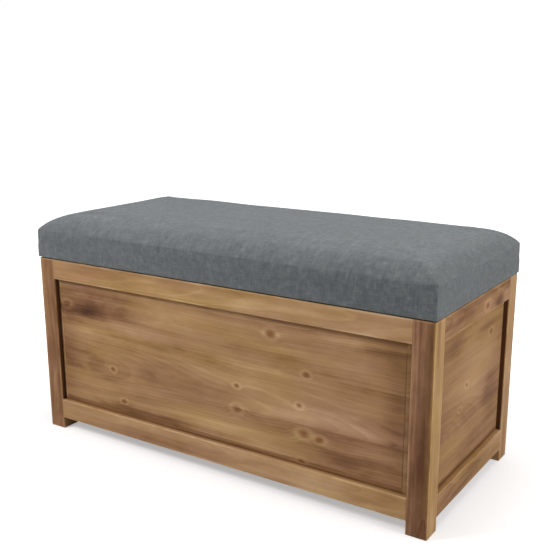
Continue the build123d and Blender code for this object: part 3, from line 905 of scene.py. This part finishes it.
def soften(seat):
    """Small unevenness of a stuffed seat: hollows in the top and pull marks on the band."""
    dips = random_dips(26)
    for v in seat.data.vertices:
        above = v.co.z - SEAT_BOTTOM
        from_end, from_side = HALF_LENGTH - abs(v.co.x), HALF_DEPTH - abs(v.co.y)
        from_corner = Vector((from_end, from_side, above - BAND_HEIGHT)).length
        tuck = max(1 - from_corner / TUCK_REACH, 0.0) * TUCK_DEPTH
        v.co.y -= math.copysign(tuck, v.co.y)
        if above > BAND_HEIGHT * 0.98:
            for x, y, reach, depth in dips:
                far = ((v.co.x - x) ** 2 + (v.co.y - y) ** 2) / reach**2
                if far < 1:
                    v.co.z += depth * (1 - far) ** 2
        elif above > 0.01:
            lift = math.sin(math.pi * min(above / BAND_HEIGHT, 1.0))
            on_long_side = abs(v.co.y) > HALF_DEPTH - ON_SIDE
            along = v.co.x if on_long_side else v.co.y
            pull = 0.0005 * math.sin(along * 31 + 1.3) + 0.0003 * math.sin(along * 83 + 0.4)
            if on_long_side and abs(v.co.x) < HALF_LENGTH - 0.01:
                v.co.y += math.copysign(pull * lift, v.co.y)
            elif abs(v.co.x) > HALF_LENGTH - ON_SIDE and abs(v.co.y) < HALF_DEPTH - 0.01:
                v.co.x += math.copysign(pull * lift, v.co.x)


def open_underside(seat):
    """Leaves only the turned-under strip of the underside."""
    bm = bmesh.new()
    bm.from_mesh(seat.data)
    inner_x, inner_y = HALF_LENGTH - WRAP, HALF_DEPTH - WRAP
    hidden = []
    for face in bm.faces:
        middle = face.calc_center_median()
        if middle.z < SEAT_BOTTOM + 0.003 and abs(middle.x) < inner_x and abs(middle.y) < inner_y:
            hidden.append(face)
    bmesh.ops.delete(bm, geom=hidden, context="FACES")
    bm.to_mesh(seat.data)
    bm.free()


def shade_smooth(mesh):
    for polygon in mesh.polygons:
        polygon.use_smooth = True


def thicken(piece, thickness, offset):
    """offset is -1 for inward and 0 for both ways."""
    solid = piece.modifiers.new("thickness", "SOLIDIFY")
    solid.thickness = thickness
    solid.offset = offset


def make_seat():
    seat = bpy.data.objects.new("seat_cushion", seat_mesh())
    bpy.context.scene.collection.objects.link(seat)
    settle(seat)
    soften(seat)
    open_underside(seat)
    seat.data.materials.append(linen())
    shade_smooth(seat.data)
    rounding = seat.modifiers.new("rounding", "BEVEL")
    rounding.width = 0.0009
    rounding.segments = 2
    rounding.limit_method = "ANGLE"
    rounding.angle_limit = math.radians(28)
    thicken(seat, 0.0009, offset=-1)
    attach(seat, "lid")
    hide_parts("linen_cover", "foam_pad")


def dust_cloth_mesh(low, high):
    """One layer of points: slightly wavy, flat towards its edges, with a hem turned in there."""
    bm = bmesh.new()
    xs = spaced(high.x - low.x, 120, 0.0)
    ys = spaced(high.y - low.y, 50, 0.0)
    chance = random.Random(9)
    phase = [chance.uniform(0, 6) for _ in range(4)]
    grid = []
    for x in xs:
        row = []
        for y in ys:
            edge = min(high.x - abs(x), high.y - abs(y))
            wave = math.sin(x * 40 + phase[0]) * math.sin(y * 33 + phase[1])
            wave += 0.5 * math.sin(x * 97 + phase[2]) * math.sin(y * 71 + phase[3])
            sag = DUST_WAVE * wave * min(edge / 0.04, 1.0)
            hem = DUST_HEM if edge < 0.012 else 0.0
            row.append(bm.verts.new((x, y, high.z - 0.0004 - sag - hem)))
        grid.append(row)
    for i in range(len(xs) - 1):
        for j in range(len(ys) - 1):
            bm.faces.new([grid[i][j], grid[i][j + 1], grid[i + 1][j + 1], grid[i + 1][j]])
    mesh = bpy.data.meshes.new("underside_cloth")
    bm.to_mesh(mesh)
    bm.free()
    return mesh


def make_dust_cover():
    """The sheet under the lid board, pulled flat, with its edge turned in."""
    low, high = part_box("dust_cover")
    cloth = bpy.data.objects.new("underside_cloth", dust_cloth_mesh(low, high))
    bpy.context.scene.collection.objects.link(cloth)
    cloth.data.materials.append(dust_cloth_material())
    shade_smooth(cloth.data)
    thicken(cloth, 0.0002, offset=0)
    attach(cloth, "lid")
    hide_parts("dust_cover")


# ---------------------------------------------------------------- putting it together

bpy.context.scene.view_settings.view_transform = "Standard"
add_camera()
add_world()
add_floor()
CENTRE, LEFT_OF_CENTRE = (0.0, 0.0, 0.25), (-0.3, 0.0, 0.25)
add_area_light("overhead", (0.3, 0.5, 2.9), CENTRE, size=2.4, power=45, colour=(1.0, 0.985, 0.96))
add_area_light("side", (2.8, -0.2, 1.6), CENTRE, size=1.6, power=46, colour=(1.0, 0.98, 0.95))
add_area_light("fill", (-1.3, -1.6, 2.0), LEFT_OF_CENTRE, size=1.0, power=48, colour=(1.0, 0.99, 0.98))

for side in SIDES:
    dress(f"{side}_panel", material_for_panel(side))
    for level in ("top", "bottom"):
        dress(f"{side}_{level}_rail", material_for_rail(side, level))
for end in ("left", "right"):
    for face in ("front", "rear"):
        dress(f"{end}_{face}_post", material_for_post(f"{end}_{face}_post"))

RAW = [(0.25, (0.36, 0.23, 0.12)), (0.5, (0.50, 0.35, 0.20)), (0.75, (0.62, 0.46, 0.29))]
PLY = [(0.25, (0.34, 0.23, 0.13)), (0.5, (0.47, 0.34, 0.21)), (0.75, (0.58, 0.45, 0.30))]
long_cleat = bare_wood("raw_pine_x", "x", RAW)
short_cleat = bare_wood("raw_pine_y", "y", RAW)
for side in SIDES:
    dress(f"{side}_cleat", long_cleat if side in ("front", "rear") else short_cleat)
plywood = bare_wood("plywood", "x", PLY)
for node in ("floor_panel", "lid_board"):
    dress(node, plywood)

zinc = metal("zinc_plate", (0.42, 0.38, 0.26), (0.66, 0.62, 0.48), roughness=0.38, scratch=0.3)
brassed = metal("antique_brass_plate", (0.17, 0.115, 0.05), (0.42, 0.30, 0.15), roughness=0.42, scratch=0.4)
bright = metal("bright_plate", (0.45, 0.45, 0.45), (0.68, 0.68, 0.67), roughness=0.3, scratch=0.3)
for node in nodes:
    if "hinge" in node and "screws" not in node:
        dress(node, brassed)
    elif "screws" in node or "nails" in node:
        dress(node, zinc)
    elif "stay" in node or node == "cover_staples":
        dress(node, bright)
dress("lid_bumpers", rubber("bumper_rubber"))

make_seat()
make_dust_cover()
